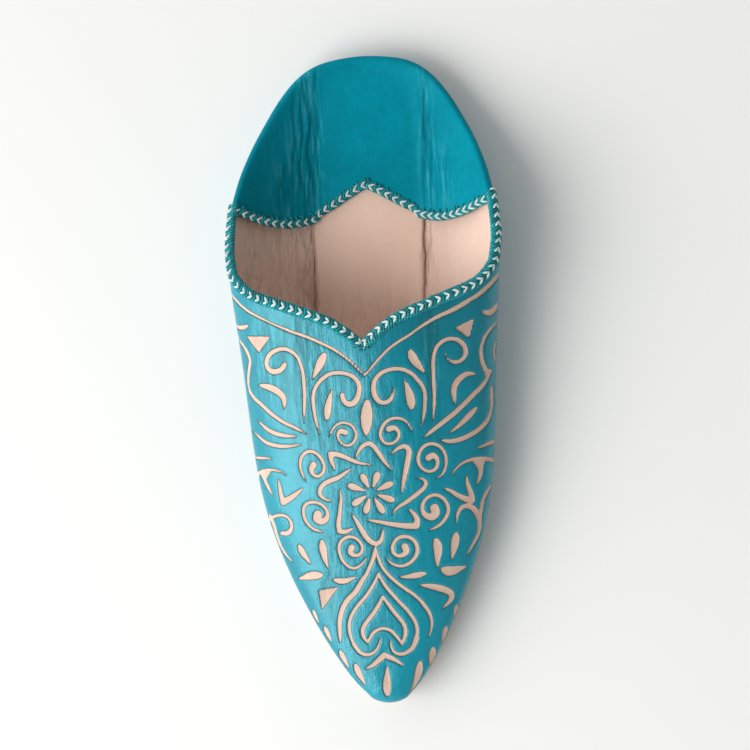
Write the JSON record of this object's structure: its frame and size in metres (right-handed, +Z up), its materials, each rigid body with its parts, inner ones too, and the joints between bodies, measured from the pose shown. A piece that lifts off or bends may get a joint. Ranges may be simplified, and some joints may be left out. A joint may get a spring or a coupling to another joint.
{
  "type": "babouche slipper",
  "caption": "Pointed leather slipper without a heel, its back turned down over the insole, with a carved vamp and braided collar.",
  "frame": {"origin": "on the floor under the middle of the footprint's box", "axes": "+Z up, toe towards -Y, heel towards +Y, +X towards the big-toe side"},
  "size_m": [0.1098, 0.2622, 0.0506],
  "materials": {
    "sole_leather": "undyed sole leather, dull",
    "natural_leather": "undyed lining leather, matt",
    "dyed_leather": "turquoise dyed leather, satin, with carved ornament on the vamp",
    "braid": "white and teal braided cord"
  },
  "bodies": {
    "root": {"outsole": "sole_leather", "insole": "natural_leather", "upper": "dyed_leather", "turned_down_back": "dyed_leather", "collar_braid": "braid", "back_edge_braid": "braid"}
  },
  "joints": []
}
